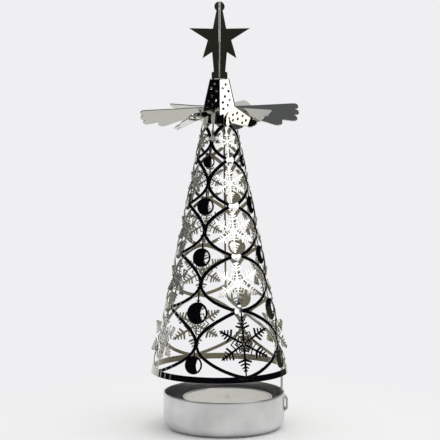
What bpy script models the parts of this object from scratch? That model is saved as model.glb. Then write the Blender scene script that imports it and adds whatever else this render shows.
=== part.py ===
"""Rotating candle holder: a tealight cup, a bent arm with a needle, and a cut-sheet tree that
turns on the needle under a six-bladed rotor with a star on top. Metres, +Z up, the needle on Z."""
import math

import bmesh
import bpy
from mathutils import Matrix, Vector
from mathutils.geometry import delaunay_2d_cdt

MM = 0.001

# cup that stands on the table; its centre lies a little to the right of the needle
CUP_X = 1.9
CUP_R = 25.6
CUP_H = 15.5
CUP_WALL = 0.5
CUP_FILLET = 4.5
CUP_STEPS = 48
SLOT_CLEARANCE = 0.3

# loose tealight standing in the cup
TEALIGHT_X = 3.4
TEALIGHT_R = 19.0
TEALIGHT_H = 12.7
TEALIGHT_FOIL = 0.3
TEALIGHT_GAP = 0.1
WAX_GAP = 0.1
WAX_BELOW_RIM = 0.5
WICK_R = 0.6
WICK_RISE = 1.6
SUSTAINER_R = 5.5
SUSTAINER_T = 0.3

# arm: one bent strip, hooked through two slots in the cup wall
STRIP_W = 5.0
STRIP_T = 0.8
ARM_WALL_GAP = 0.3
ARM_BUMP = 2.2
ARM_HOOK_TOP = 14.2
ARM_HOOK_LOW = 12.6
ARM_TAIL_TOP = 8.4
ARM_TAIL_LOW = 6.8
ARM_END = 5.4
ARM_ARC_FROM = 26.0
ARM_ARC_R = 22.6
ARM_SLOPE = 38.5
ARM_BEND_R = 8.0
ARM_RISER_X = 1.75
ARM_RISER_LEAN = 0.6
ARM_TAB_Z = 135.8
ARM_TAB_LENGTH = 4.1

# needle riveted through the arm's tab
NEEDLE_R = 0.6
NEEDLE_HOLE_GAP = 0.06
NEEDLE_COLLAR_R = 1.25
NEEDLE_COLLAR_H = 0.8
NEEDLE_RIVET_R = 0.88
NEEDLE_RIVET_H = 0.45
NEEDLE_TIP = 146.5
NEEDLE_CONE = 3.0

# rotor: six-sided cap closed at the top, with one blade bent out of each side
CAP_TOP = 147.8
CAP_BOTTOM = 134.6
CAP_TOP_R = 4.6
CAP_BOTTOM_R = 8.0
CAP_SHEET = 0.4
CAP_TOOTH_LOW = -1.3
CAP_TOOTH_HIGH = 0.5
CAP_HOLE_R = 0.58
CAP_HOLE_DROP = (2.1, 3.7, 4.9, 7.0, 8.6, 9.4, 10.6, 12.0)
CAP_HOLE_SIDE = (0.3, -1.3, 1.4, -0.6, 1.5, -1.9, 0.2, -2.0)
CAP_SLOT_DEPTH = 0.7

# blades: bent out of the cap's lower edge and pitched to catch the warm air; the set of six dips a
# little toward the left
BLADE_PITCH = 34.0
BLADE_DROOP = 4.6
BLADE_DIP = 2.3
BLADE_ROOT_Z = 134.7
BLADE_ROOT_OUT = 7.0
BLADE_ROOT_SIDE = 1.3
BLADE_T = 0.4
BLADE_UPPER = ((6.75, 2.6), (16.0, 3.7), (24.0, 4.9), (28.8, 5.6))
BLADE_LOBES = ((31.0, 4.0), (31.3, 0.0), (30.6, -4.0))
BLADE_LOBE_R = 2.0
BLADE_NOTCH = (26.4, -5.4)
BLADE_THUMB = (24.2, -7.0)
BLADE_THUMB_R = 2.2
BLADE_LOWER = ((14.0, -5.0), (9.0, -3.5), (6.75, -1.8))

# bearing under the cap's top
BEARING_R = 1.75
BEARING_H = 3.0
BEARING_GAP = 0.06
BEARING_SPIGOT_R = 0.65
BEARING_MOUTH_R = 1.2

# star finial: two crossed plates seated on the cap; its middle lies above the seat
STAR_T = 0.6
STAR_GAP = 0.08
STAR_SEAT = 0.1
STAR_TONGUE_IN = 2.15
STAR_TONGUE_OUT = 3.05
STAR_TONGUE_DROP = 1.0
STAR_MIDDLE = 15.6
STAR_BALL_R = 2.15
STAR_BALL_RISE = 14.35
STAR_NECK_R = 1.45
STAR_NECK_DROP = 2.3
STAR_SIDE = 12.8
STAR_SIDE_RISE = 5.4
STAR_INNER = 2.8
STAR_INNER_RISE = 5.2
STAR_WAIST = 4.9
STAR_WAIST_RISE = 0.4
STAR_LEG = 7.1
STAR_LEG_DROP = 7.2
STAR_CROTCH = 3.1
STAR_CROTCH_DROP = 4.6
STAR_STALK = 2.4
STAR_BASE = 3.3
STAR_BASE_H = 2.5
STAR_BASE_BEVEL = 0.5

# tree: four cut panels bent to one cone
TREE_LOW = 24.1
TREE_HIGH = 137.4
TREE_ARM_ROOM = 2.1
TREE_TAPER = 0.206
TREE_SHEET = 0.4
TREE_TURN = 23.0
TREE_BAND = 2.6
TREE_COLLAR = 129.4
TREE_STRIP = 1.45
TREE_LAP = 0.15
TREE_SEAM = 0.1
RING_JOINTS = (26.3, 53.4, 75.5, 96.0, 114.8, 129.8)
RING_ROUND = (0.35, 0.6, 0.4, 0.35, 0.3)
RING_STEPS = 9
JOINT_NECK = 0.3
PLATE_T = 0.32
FLAKE_R = (12.3, 10.3, 9.2, 7.3, 4.4)
BAUBLE_Z = (31.3, 52.3, 74.9, 95.7, 113.8)
BAUBLE_R = (3.85, 4.6, 3.95, 3.7, 2.5)
BAUBLE_SHIFT = -0.55
BAUBLE_STEM = 0.9

for old in list(bpy.data.objects):
    bpy.data.objects.remove(old, do_unlink=True)

PARTS = bpy.data.collections.new("rotating_candle_holder")
bpy.context.scene.collection.children.link(PARTS)


def metal(name, colour, rough, metallic=1.0):
    mat = bpy.data.materials.new(name)
    mat.use_nodes = True
    shader = mat.node_tree.nodes["Principled BSDF"]
    shader.inputs["Base Color"].default_value = (*colour, 1.0)
    shader.inputs["Roughness"].default_value = rough
    shader.inputs["Metallic"].default_value = metallic
    return mat


def part(name, mesh, mat, at=(0.0, 0.0, 0.0)):
    obj = bpy.data.objects.new(name, mesh)
    obj.location = [c * MM for c in at]
    PARTS.objects.link(obj)
    obj.data.materials.clear()
    obj.data.materials.append(mat)
    return obj


def settle(obj, name, weld=1e-7):
    """The evaluated mesh of an object, welded; the object itself is removed."""
    graph = bpy.context.evaluated_depsgraph_get()
    graph.update()
    mesh = bpy.data.meshes.new_from_object(obj.evaluated_get(graph))
    mesh.name = name
    bpy.data.objects.remove(obj, do_unlink=True)
    bm = bmesh.new()
    bm.from_mesh(mesh)
    bmesh.ops.remove_doubles(bm, verts=bm.verts, dist=weld)
    bmesh.ops.recalc_face_normals(bm, faces=bm.faces)
    bm.to_mesh(mesh)
    bm.free()
    return mesh


def encloses(loop, point):
    """Whether a closed loop of points goes round a point."""
    inside = False
    for (x0, y0), (x1, y1) in zip(loop, loop[1:] + loop[:1]):
        if (y0 > point.y) != (y1 > point.y):
            if point.x < x0 + (x1 - x0) * (point.y - y0) / (y1 - y0):
                inside = not inside
    return inside


def plate(name, loops, thick):
    """Flat plate in XY: loops[0] is the outline, the others are holes; thickness along Z."""
    points = []
    edges = []
    for loop in loops:
        first = len(points)
        points += [Vector((x, y)) for x, y in loop]
        edges += [(first + i, first + (i + 1) % len(loop)) for i in range(len(loop))]
    flat = delaunay_2d_cdt(points, edges, [], 2, 1e-6)
    bm = bmesh.new()
    top = [bm.verts.new((p.x * MM, p.y * MM, thick * MM / 2)) for p in flat[0]]
    low = [bm.verts.new((p.x * MM, p.y * MM, -thick * MM / 2)) for p in flat[0]]
    used = {}
    for tri in flat[2]:
        centre = sum((flat[0][i] for i in tri), Vector((0.0, 0.0))) / 3
        if sum(encloses(loop, centre) for loop in loops) != 1:
            continue
        bm.faces.new([top[i] for i in tri])
        bm.faces.new([low[i] for i in reversed(tri)])
        for i, j in zip(tri, tri[1:] + tri[:1]):
            used[i, j] = True
    for i, j in used:
        if (j, i) not in used:
            bm.faces.new((top[j], top[i], low[i], low[j]))
    loose = [v for v in bm.verts if not v.link_faces]
    bmesh.ops.delete(bm, geom=loose, context="VERTS")
    bmesh.ops.recalc_face_normals(bm, faces=bm.faces)
    mesh = bpy.data.meshes.new(name)
    bm.to_mesh(mesh)
    bm.free()
    return mesh


def turned(name, profile, steps):
    """Body of revolution about Z from (radius, height) points, outer side from top to bottom."""
    bm = bmesh.new()
    verts = [bm.verts.new((r * MM, 0.0, z * MM)) for r, z in profile]
    for a, b in zip(verts, verts[1:]):
        bm.edges.new((a, b))
    mesh = bpy.data.meshes.new(name)
    bm.to_mesh(mesh)
    bm.free()
    obj = bpy.data.objects.new(name, mesh)
    PARTS.objects.link(obj)
    screw = obj.modifiers.new("turn", "SCREW")
    screw.axis = "Z"
    screw.steps = steps
    screw.render_steps = steps
    screw.use_merge_vertices = True
    screw.merge_threshold = 1e-5
    return settle(obj, name, 1e-6)


def combine(mesh, other, operation):
    """Mesh joined with, or cut by, another mesh."""
    name = mesh.name
    body = bpy.data.objects.new(name, mesh)
    tool = bpy.data.objects.new(name + "_tool", other)
    PARTS.objects.link(body)
    PARTS.objects.link(tool)
    mod = body.modifiers.new("combine", "BOOLEAN")
    mod.operation = operation
    mod.solver = "EXACT"
    mod.object = tool
    out = settle(body, name)
    bpy.data.objects.remove(tool, do_unlink=True)
    return out


def merged(name, meshes):
    """Separate bodies gathered in one mesh."""
    bm = bmesh.new()
    for mesh in meshes:
        bm.from_mesh(mesh)
    out = bpy.data.meshes.new(name)
    bm.to_mesh(out)
    bm.free()
    return out


def placed(mesh, matrix):
    out = mesh.copy()
    out.transform(matrix)
    return out


def frame(right, up, out, at):
    """Matrix that carries plate X, Y, Z to three directions, at a point in millimetres."""
    rows = [[right[i], up[i], out[i], at[i] * MM] for i in range(3)]
    return Matrix(rows + [[0.0, 0.0, 0.0, 1.0]])


def box(name, low, high):
    mesh = bpy.data.meshes.new(name)
    bm = bmesh.new()
    bmesh.ops.create_cube(bm, size=1.0)
    for v in bm.verts:
        v.co = Vector([(low[i] if v.co[i] < 0 else high[i]) * MM for i in range(3)])
    bm.to_mesh(mesh)
    bm.free()
    return mesh


def rounded(points, radii, count=5):
    """Polyline whose inner corners are replaced by arcs."""
    out = [Vector(points[0])]
    for before, corner, after, radius in zip(points, points[1:], points[2:], radii):
        c = Vector(corner)
        a = (Vector(before) - c).normalized()
        b = (Vector(after) - c).normalized()
        half = a.angle(b) / 2
        reach = radius / math.tan(half)
        middle = c + (a + b).normalized() * (radius / math.sin(half))
        start = c + a * reach - middle
        end = c + b * reach - middle
        turn = start.angle(end)
        for i in range(count + 1):
            t = i / count
            w0 = math.sin((1 - t) * turn) / math.sin(turn)
            w1 = math.sin(t * turn) / math.sin(turn)
            out.append(middle + start * w0 + end * w1)
    out.append(Vector(points[-1]))
    return out


def ribbon(path, thick):
    """Outline of a strip of even thickness along a path."""
    left = []
    right = []
    for i, p in enumerate(path):
        before = path[max(i - 1, 0)]
        after = path[min(i + 1, len(path) - 1)]
        d = (after - before).normalized()
        n = Vector((-d.y, d.x)) * thick / 2
        left.append(tuple(p + n))
        right.append(tuple(p - n))
    return left + right[::-1]


SATIN = metal("satin_steel", (0.62, 0.62, 0.61), 0.32)
POLISHED = metal("polished_steel", (0.72, 0.72, 0.72), 0.06)
ARM_STEEL = metal("arm_steel", (0.62, 0.61, 0.58), 0.2)
FOIL = metal("aluminium_foil", (0.8, 0.8, 0.8), 0.3)
WAX = metal("candle_wax", (0.78, 0.76, 0.7), 0.5, 0.0)
COTTON = metal("wick_cotton", (0.8, 0.78, 0.72), 0.9, 0.0)
BRASS = metal("bearing_brass", (0.7, 0.55, 0.28), 0.25)

# tealight cup
arc = [(math.cos(math.radians(a)), math.sin(math.radians(a))) for a in (0, -22.5, -45, -67.5, -90)]
outer = [(CUP_R - CUP_FILLET * (1 - c), CUP_FILLET * (1 + s)) for c, s in arc]
inner_r = CUP_FILLET - CUP_WALL
inner = [(CUP_R - CUP_FILLET + inner_r * c, CUP_FILLET + inner_r * s) for c, s in arc]
cup = turned("tealight_cup", [(CUP_R, CUP_H)] + outer + [(0.0, 0.0), (0.0, CUP_WALL)]
             + inner[::-1] + [(CUP_R - CUP_WALL, CUP_H), (CUP_R, CUP_H)], CUP_STEPS)

# arm, drawn in the XZ plane
arm_x = CUP_X + CUP_R - CUP_WALL - STRIP_T / 2 - ARM_WALL_GAP
slope = math.radians(ARM_SLOPE)
arc_turn = math.pi / 2 - slope
arc_end = Vector((arm_x - ARM_ARC_R * (1 - math.cos(arc_turn)),
                  ARM_ARC_FROM + ARM_ARC_R * math.sin(arc_turn)))
lean = math.tan(math.radians(ARM_RISER_LEAN))
riser_top = ARM_TAB_Z
cos_s = math.cos(slope)
sin_s = math.sin(slope)
run = ((arc_end.x - ARM_RISER_X - lean * (riser_top - arc_end.y)) / (cos_s - lean * sin_s))
elbow = arc_end + Vector((-cos_s, sin_s)) * run
corner_z = ARM_ARC_FROM + ARM_ARC_R * math.tan(arc_turn / 2)
arm_points = [(arm_x, ARM_END), (arm_x, ARM_TAIL_LOW), (arm_x + ARM_BUMP, ARM_TAIL_TOP),
              (arm_x + ARM_BUMP, ARM_HOOK_LOW), (arm_x, ARM_HOOK_TOP), (arm_x, corner_z),
              tuple(elbow), (ARM_RISER_X, riser_top),
              (ARM_RISER_X - ARM_TAB_LENGTH, riser_top)]
arm_path = rounded(arm_points, (0.9, 0.9, 0.9, 0.9, ARM_ARC_R, ARM_BEND_R, 0.8))
stand = frame((1, 0, 0), (0, 0, 1), (0, -1, 0), (0, 0, 0))
arm = placed(plate("support_arm", [ribbon(arm_path, STRIP_T)], STRIP_W), stand)
hole = turned("needle_hole", [(0.0, ARM_TAB_Z + 1), (NEEDLE_R + NEEDLE_HOLE_GAP, ARM_TAB_Z + 1),
                              (NEEDLE_R + NEEDLE_HOLE_GAP, ARM_TAB_Z - 1),
                              (0.0, ARM_TAB_Z - 1)], 12)
arm = combine(arm, hole, "DIFFERENCE")
part("support_arm", arm, ARM_STEEL)

# the two slots follow the hook
for top, low in ((ARM_HOOK_TOP, ARM_HOOK_LOW), (ARM_TAIL_TOP, ARM_TAIL_LOW)):
    share = (CUP_X + CUP_R - CUP_WALL / 2 - arm_x) / ARM_BUMP
    middle = top + (low - top) * share
    if top == ARM_TAIL_TOP:
        middle = low + (top - low) * share
    steep = abs(top - low) / ARM_BUMP
    half = STRIP_T / 2 * math.hypot(1, steep) + steep * CUP_WALL / 2 + SLOT_CLEARANCE + 0.08
    wide = STRIP_W / 2 + SLOT_CLEARANCE
    slot = box("slot", (CUP_R - 4, -wide, middle - half), (CUP_R + 4, wide, middle + half))
    cup = combine(cup, slot, "DIFFERENCE")
part("tealight_cup", cup, SATIN, (CUP_X, 0, 0))

# needle
tab_top = ARM_TAB_Z + STRIP_T / 2 + NEEDLE_HOLE_GAP
tab_low = ARM_TAB_Z - STRIP_T / 2 - NEEDLE_HOLE_GAP
needle = turned("pivot_needle", [
    (0.0, NEEDLE_TIP), (0.12, NEEDLE_TIP - 0.2), (NEEDLE_R, NEEDLE_TIP - NEEDLE_CONE),
    (NEEDLE_R, tab_top + NEEDLE_COLLAR_H), (NEEDLE_COLLAR_R, tab_top + NEEDLE_COLLAR_H),
    (NEEDLE_COLLAR_R, tab_top), (NEEDLE_R, tab_top), (NEEDLE_R, tab_low),
    (NEEDLE_RIVET_R, tab_low), (NEEDLE_RIVET_R, tab_low - NEEDLE_RIVET_H),
    (0.0, tab_low - NEEDLE_RIVET_H)], 16)
part("pivot_needle", needle, ARM_STEEL)

# tealight: foil shell, wax, wick and the small foot that holds the wick
floor = CUP_WALL + TEALIGHT_GAP
shell = turned("tealight_shell", [
    (TEALIGHT_R, TEALIGHT_H), (TEALIGHT_R - 0.6, TEALIGHT_H - 0.5), (TEALIGHT_R - 0.6, 0.0),
    (0.0, 0.0), (0.0, TEALIGHT_FOIL), (TEALIGHT_R - 0.6 - TEALIGHT_FOIL, TEALIGHT_FOIL),
    (TEALIGHT_R - 0.6 - TEALIGHT_FOIL, TEALIGHT_H), (TEALIGHT_R, TEALIGHT_H)], 48)
part("tealight_shell", shell, FOIL, (TEALIGHT_X, 0, floor))
foot_low = TEALIGHT_FOIL + WAX_GAP
foot_top = foot_low + SUSTAINER_T
bore = WICK_R + WAX_GAP
foot = turned("wick_sustainer", [
    (SUSTAINER_R, foot_top), (SUSTAINER_R, foot_low), (bore, foot_low), (bore, foot_top),
    (SUSTAINER_R, foot_top)], 24)
part("wick_sustainer", foot, FOIL, (TEALIGHT_X, 0, floor))
wax_r = TEALIGHT_R - 0.6 - TEALIGHT_FOIL - WAX_GAP
wax_top = TEALIGHT_H - WAX_BELOW_RIM
wax = turned("tealight_wax", [
    (wax_r, wax_top), (wax_r, foot_low), (SUSTAINER_R + WAX_GAP, foot_low),
    (SUSTAINER_R + WAX_GAP, foot_top + WAX_GAP), (bore, foot_top + WAX_GAP), (bore, wax_top),
    (wax_r, wax_top)], 48)
part("tealight_wax", wax, WAX, (TEALIGHT_X, 0, floor))
wick = turned("wick", [
    (0.0, wax_top + WICK_RISE), (WICK_R, wax_top + WICK_RISE), (WICK_R, foot_low),
    (0.0, foot_low)], 10)
part("wick", wick, COTTON, (TEALIGHT_X, 0, floor))


# rotor cap
def around(angle, radius, z):
    """Point at an angle from the front (-Y), turning toward +X."""
    a = math.radians(angle)
    return Vector((radius * math.sin(a), -radius * math.cos(a), z))


def cap_radius(z):
    return CAP_TOP_R + (CAP_BOTTOM_R - CAP_TOP_R) * (CAP_TOP - z) / (CAP_TOP - CAP_BOTTOM)


def cap_shell():
    """Folded cap: each side ends in a slanting edge where its blade is bent out."""
    bm = bmesh.new()
    steep = (CAP_BOTTOM_R - CAP_TOP_R) * math.cos(math.pi / 6) / (CAP_TOP - CAP_BOTTOM)
    inset = CAP_SHEET / math.cos(math.pi / 6) * math.hypot(1.0, steep)
    high = CAP_BOTTOM + CAP_TOOTH_HIGH
    low = CAP_BOTTOM + CAP_TOOTH_LOW
    rings = {}
    for side in (0, 1):
        for key, z in (("t", CAP_TOP - side * CAP_SHEET), ("h", high), ("l", low)):
            rings[key, side] = [bm.verts.new(around(60 * k, cap_radius(z) - side * inset, z) * MM)
                                for k in range(6)]
    for side in (0, 1):
        t, h, low_ring = rings["t", side], rings["h", side], rings["l", side]
        bm.faces.new(t)
        for k in range(6):
            n = (k + 1) % 6
            bm.faces.new((t[k], h[k], low_ring[k], h[n], t[n]))
    for k in range(6):
        n = (k + 1) % 6
        bm.faces.new((rings["l", 0][k], rings["h", 0][n], rings["h", 1][n], rings["l", 1][k]))
        bm.faces.new((rings["h", 0][k], rings["l", 0][k], rings["l", 1][k], rings["h", 1][k]))
    bmesh.ops.recalc_face_normals(bm, faces=bm.faces)
    mesh = bpy.data.meshes.new("rotor_cap")
    bm.to_mesh(mesh)
    bm.free()
    return mesh


def lobe(cx, cy, radius, start, end, count):
    out = []
    for i in range(count + 1):
        a = math.radians(start + (end - start) * i / count)
        out.append((cx + radius * math.cos(a), cy + radius * math.sin(a)))
    return out


def circle(cx, cy, radius, count, turn=0.0):
    return lobe(cx, cy, radius, turn, turn + 360.0 * (count - 1) / count, count - 1)


blade_loop = list(BLADE_UPPER)
for (x, y), start, end in zip(BLADE_LOBES, (80, 70, 70), (-70, -70, -110)):
    blade_loop += lobe(x, y, BLADE_LOBE_R, start, end, 5)
blade_loop += [BLADE_NOTCH]
blade_loop += lobe(*BLADE_THUMB, BLADE_THUMB_R, 30, -120, 5)
blade_loop += BLADE_LOWER
blade_flat = plate("blade", [blade_loop], BLADE_T)
blades = []
for k in range(6):
    theta = 30 + 60 * k
    out_dir = around(theta, 1.0, 0.0)
    side_dir = around(theta + 90, 1.0, 0.0)
    droop = math.radians(BLADE_DROOP - BLADE_DIP * math.sin(math.radians(theta)))
    along = out_dir * math.cos(droop) - Vector((0, 0, 1)) * math.sin(droop)
    rise = out_dir * math.sin(droop) + Vector((0, 0, 1)) * math.cos(droop)
    root = around(theta, BLADE_ROOT_OUT, BLADE_ROOT_Z) + side_dir * BLADE_ROOT_SIDE
    pitch = math.radians(BLADE_PITCH)
    across = side_dir * math.cos(pitch) + rise * math.sin(pitch)
    lift = rise * math.cos(pitch) - side_dir * math.sin(pitch)
    setting = Matrix((along, across, lift)).transposed().to_4x4()
    setting.translation = (root - along * BLADE_ROOT_OUT) * MM
    blades.append(placed(blade_flat.copy(), setting))
cap = combine(cap_shell(), merged("blades", blades), "UNION")
cap.name = "rotor_cap"

pins = []
facet_tilt = math.atan((CAP_BOTTOM_R - CAP_TOP_R) * math.cos(math.pi / 6) / (CAP_TOP - CAP_BOTTOM))
pin = turned("pin", [(0.0, 2.0), (CAP_HOLE_R, 2.0), (CAP_HOLE_R, -2.0), (0.0, -2.0)], 6)
for k in range(6):
    theta = 30 + 60 * k
    out_dir = around(theta, 1.0, 0.0)
    side_dir = around(theta + 90, 1.0, 0.0)
    face_out = out_dir * math.cos(facet_tilt) + Vector((0, 0, 1)) * math.sin(facet_tilt)
    face_up = face_out.cross(side_dir)
    for drop, offset in zip(CAP_HOLE_DROP, CAP_HOLE_SIDE):
        z = CAP_TOP - drop
        at = around(theta, cap_radius(z) * math.cos(math.pi / 6), z) + side_dir * offset
        pins.append(placed(pin, frame(side_dir, face_up, face_out, at)))
cap = combine(cap, merged("pins", pins), "DIFFERENCE")

# openings in the cap's top for the bearing spigot and the star's tongues
slots = [turned("spigot_hole", [(0.0, CAP_TOP + 1), (BEARING_SPIGOT_R + BEARING_GAP, CAP_TOP + 1),
                                (BEARING_SPIGOT_R + BEARING_GAP, CAP_TOP - 1),
                                (0.0, CAP_TOP - 1)], 10)]
thin = STAR_T / 2 + STAR_GAP
for sign in (-1, 1):
    ends = sorted((sign * (STAR_TONGUE_IN - STAR_GAP), sign * (STAR_TONGUE_OUT + STAR_GAP)))
    slots.append(box("slot_x", (ends[0], -thin, CAP_TOP - CAP_SLOT_DEPTH), (ends[1], thin, CAP_TOP + 1)))
    slots.append(box("slot_y", (-thin, ends[0], CAP_TOP - CAP_SLOT_DEPTH), (thin, ends[1], CAP_TOP + 1)))
cap = combine(cap, merged("top_slots", slots), "DIFFERENCE")
part("rotor_cap", cap, POLISHED)

# bearing
roof = CAP_TOP - CAP_SHEET - BEARING_GAP
bearing_low = roof - BEARING_H
bearing = turned("bearing_cup", [
    (0.0, CAP_TOP - 0.03), (BEARING_SPIGOT_R, CAP_TOP - 0.03), (BEARING_SPIGOT_R, roof),
    (BEARING_R, roof), (BEARING_R, bearing_low), (BEARING_MOUTH_R, bearing_low),
    (0.0, NEEDLE_TIP + BEARING_GAP)], 20)
part("bearing_cup", bearing, BRASS)

# star finial
star_foot = CAP_TOP + STAR_SEAT
star_middle = star_foot + STAR_MIDDLE
star_ball_z = star_middle + STAR_BALL_RISE
groove = STAR_T / 2 + STAR_GAP
ball = [(STAR_BALL_R * math.sin(a), star_ball_z + STAR_BALL_R * math.cos(a))
        for a in (0.5, 1.0, 1.57, 2.1, 2.5)]
star_base = star_foot + STAR_BASE_H
arms = [(STAR_NECK_R, star_ball_z - STAR_NECK_DROP), (STAR_INNER, star_middle + STAR_INNER_RISE),
        (STAR_SIDE, star_middle + STAR_SIDE_RISE), (STAR_WAIST, star_middle + STAR_WAIST_RISE),
        (STAR_LEG, star_middle - STAR_LEG_DROP), (STAR_CROTCH, star_middle - STAR_CROTCH_DROP),
        (STAR_STALK, star_base + STAR_BASE_BEVEL), (STAR_BASE, star_base), (STAR_BASE, star_foot)]
tongue = [(STAR_TONGUE_OUT, star_foot), (STAR_TONGUE_OUT, star_foot - STAR_TONGUE_DROP),
          (STAR_TONGUE_IN, star_foot - STAR_TONGUE_DROP), (STAR_TONGUE_IN, star_foot)]
ball_edge = star_ball_z + math.sqrt(STAR_BALL_R ** 2 - groove ** 2)
front_half = [(groove, star_middle - STAR_GAP), (groove, ball_edge)] + ball + arms + tongue
cross_half = [(0.0, star_ball_z + STAR_BALL_R)] + ball + arms + tongue
cross_half += [(groove, star_foot), (groove, star_middle + STAR_GAP)]
side_stand = frame((0, 1, 0), (0, 0, 1), (1, 0, 0), (0, 0, 0))
for name, half, upright in (("star_plate_front", front_half, stand),
                            ("star_plate_cross", cross_half, side_stand)):
    loop = half + [(-x, z) for x, z in half[::-1] if x > 0.0]
    part(name, placed(plate(name, [loop], STAR_T), upright), POLISHED)


# tree panel
tree_low_r = arm_x + STRIP_T / 2 + TREE_ARM_ROOM


def tree_radius(z):
    return tree_low_r - TREE_TAPER * (z - TREE_LOW)


TILT = math.atan(TREE_TAPER)
QUARTER = math.pi / 4


def ring_edges(low, high, rounding):
    """Inner and outer edge of half a ring, as (distance along the arc, height), from the lower joint
    to the upper: the middle of the strip lies between a sine and half an ellipse."""
    inner_side = []
    outer_side = []
    half = (high - low) / 2
    for i in range(RING_STEPS * 2 + 1):
        phi = math.pi * i / (RING_STEPS * 2)
        z = low + half * (1 - math.cos(phi))
        reach = QUARTER * tree_radius(z) - TREE_LAP - TREE_SEAM
        wave = math.pi * (1 - math.cos(phi)) / 2
        swing = math.sin(wave) * (1 - rounding) + math.sin(phi) * rounding
        turn = math.cos(wave) * math.sin(phi) * math.pi / 2 * (1 - rounding) + math.cos(phi) * rounding
        along = Vector((reach * turn, half * math.sin(phi) / math.cos(TILT))).normalized()
        out = Vector((along.y, -along.x * math.cos(TILT))) * TREE_STRIP / 2
        middle = Vector((reach * swing, z))
        inner_side.append(middle - out)
        edge = middle + out
        edge.x = min(edge.x, QUARTER * tree_radius(edge.y) - TREE_SEAM)
        outer_side.append(edge)
    return inner_side, outer_side


FLAT = 20.0
right_edge = []
band_top = TREE_LOW + TREE_BAND
band_edge = QUARTER - TREE_SEAM / tree_radius(TREE_LOW)
for i in range(6):
    right_edge.append((band_edge * i / 5 * FLAT, TREE_LOW))
band_edge = QUARTER - TREE_SEAM / tree_radius(band_top)
holes = []
for row, (low, high) in enumerate(zip(RING_JOINTS, RING_JOINTS[1:])):
    inner_side, outer_side = ring_edges(low, high, RING_ROUND[row])
    inner_side = [(p.x / tree_radius(p.y) * FLAT, p.y) for p in inner_side if p.x > JOINT_NECK]
    outer_side = [(p.x / tree_radius(p.y) * FLAT, p.y) for p in outer_side
                  if low + JOINT_NECK < p.y < high - JOINT_NECK]
    if row == 0:
        outer_side = [p for p in outer_side if p[1] > band_top + 0.3]
        first = outer_side[0][0]
        edge = band_edge * FLAT
        for i in range(6):
            right_edge.append((edge + (first - 0.3 - edge) * i / 5, band_top))
    elif row == 4:
        outer_side = [p for p in outer_side if p[1] < TREE_COLLAR - 0.4]
    right_edge += outer_side
    low_end = inner_side[0][1] - JOINT_NECK / 2
    high_end = inner_side[-1][1] + JOINT_NECK / 2
    hole_loop = [(0.0, low_end)] + inner_side + [(0.0, high_end)]
    hole_loop += [(-x, z) for x, z in inner_side[::-1]]
    holes.append(hole_loop)
collar_edge = (QUARTER - TREE_SEAM / tree_radius(TREE_COLLAR)) * FLAT
top_edge = (QUARTER - TREE_SEAM / tree_radius(TREE_HIGH)) * FLAT
last = right_edge[-1][0]
right_edge.append(((last + collar_edge) / 2, TREE_COLLAR))
right_edge.append((collar_edge, TREE_COLLAR + 0.3))
for i in range(5):
    right_edge.append((top_edge * (1 - i / 4), TREE_HIGH))
lattice_loop = right_edge + [(-x, z) for x, z in right_edge[::-1] if x > 0.0]
lattice = plate("tree_panel", [lattice_loop] + holes, TREE_SHEET)
for v in lattice.vertices:
    angle = v.co.x / MM / FLAT
    z = v.co.y / MM
    off = v.co.z / MM
    radius = tree_radius(z) + off * math.cos(TILT)
    v.co = Vector((radius * math.sin(angle), -radius * math.cos(angle),
                   z + off * math.sin(TILT))) * MM


def tangent(angle, z):
    """Frame of a flat plate that touches the cone at an angle and height."""
    a = math.radians(angle)
    out_flat = Vector((math.sin(a), -math.cos(a), 0.0))
    right = Vector((math.cos(a), math.sin(a), 0.0))
    up = (Vector((0, 0, 1)) * math.cos(TILT) - out_flat * math.sin(TILT)).normalized()
    out = right.cross(up)
    at = out_flat * tree_radius(z) + Vector((0, 0, z))
    return frame(right, up, out, at)


def flake(radius, reach_up, reach_down):
    """Six-armed flake whose upright arms run on into the ring above and below."""
    arms = []
    shape = ((0.42, 0.235), (0.38, 0.07), (0.5, 0.07), (0.6, 0.25), (1.0, 0.03))
    for k in range(6):
        a = math.radians(90 - 60 * k)
        d = Vector((math.cos(a), math.sin(a)))
        s = Vector((d.y, -d.x))
        pts = [d * radius * r - s * radius * w for r, w in shape]
        pts += [d * radius * r + s * radius * w for r, w in shape[::-1]]
        if k in (0, 3):
            reach = reach_up if k == 0 else reach_down
            stem = 0.3
            pts[4:6] = [d * radius * 0.97 - s * stem, d * reach - s * stem,
                        d * reach + s * stem, d * radius * 0.97 + s * stem]
        arms += [tuple(p) for p in pts]
    return [arms, circle(0.0, 0.0, radius * 0.07, 6)]


def bauble(radius, reach_up):
    """Flat bauble on a stem, with a crescent cut out of its right side."""
    stem = BAUBLE_STEM / 2
    start = math.degrees(math.asin(stem / radius))
    disc = [(stem, reach_up)] + lobe(0.0, 0.0, radius, 90 - start, -270 + start, 15)
    disc += [(-stem, reach_up)]
    crescent = lobe(0.0, 0.0, radius * 0.78, -52, 52, 4)
    crescent += [(radius * 0.36, radius * 0.35), (radius * 0.36, -radius * 0.35)]
    return [disc, crescent]


plates = []
for row, (low, high) in enumerate(zip(RING_JOINTS, RING_JOINTS[1:])):
    middle = (low + high) / 2
    reach = (high - low) / 2 / math.cos(TILT)
    shape = flake(FLAKE_R[row], reach - 0.1, reach - 0.1)
    plates.append(placed(plate("flake", shape, PLATE_T), tangent(0.0, middle)))
    drop = (middle - BAUBLE_Z[row]) / math.cos(TILT)
    hang = drop - (high - low) * 0.04
    ball = plate("bauble", bauble(BAUBLE_R[row], hang), PLATE_T)
    shift = Matrix.Translation((BAUBLE_SHIFT * MM, 0, 0))
    plates.append(placed(ball, tangent(45.0, BAUBLE_Z[row]) @ shift))
panel = combine(lattice, merged("plates", plates), "UNION")
for k in range(4):
    turn = Matrix.Rotation(math.radians(TREE_TURN + 90 * k), 4, "Z")
    part("tree_panel_%d" % (k + 1), placed(panel, turn), POLISHED)
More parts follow.
